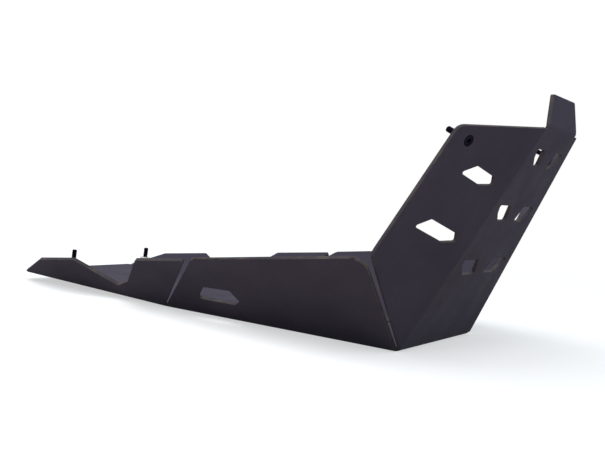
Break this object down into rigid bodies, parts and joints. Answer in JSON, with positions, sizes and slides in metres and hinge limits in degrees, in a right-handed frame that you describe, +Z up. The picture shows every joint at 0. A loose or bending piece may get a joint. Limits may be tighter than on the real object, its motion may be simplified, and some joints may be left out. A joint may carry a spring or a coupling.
{
  "type": "motorcycle engine guard",
  "caption": "Folded sheet-metal skid plate for a motorcycle: flat bottom, flared side flanges, raked front face with slots, side wings and a top tab.",
  "frame": {"origin": "centre of the object's footprint box, on the plane of the flat underside, which is Z = 0", "axes": "+X points forward on the motorcycle, along the bottom to the front face; +Y to its left, square to the plane of symmetry; +Z up"},
  "size_m": [0.612, 0.3856, 0.2667],
  "materials": {
    "powder_coat": "matte fine-texture powder coat over aluminium sheet",
    "black_screw": "black oxide, satin",
    "rubber": "matte",
    "turned_spacer": "turned, satin"
  },
  "bodies": {
    "root": {"guard_plate": "powder_coat", "front_screw_right": "black_screw", "front_washer_right": "rubber", "front_spacer_right": "turned_spacer", "front_screw_left": "black_screw", "front_washer_left": "rubber", "front_spacer_left": "turned_spacer", "rear_screw_right": "black_screw", "rear_washer_right": "rubber", "rear_spacer_right": "turned_spacer", "rear_screw_left": "black_screw", "rear_washer_left": "rubber", "rear_spacer_left": "turned_spacer"}
  },
  "joints": []
}
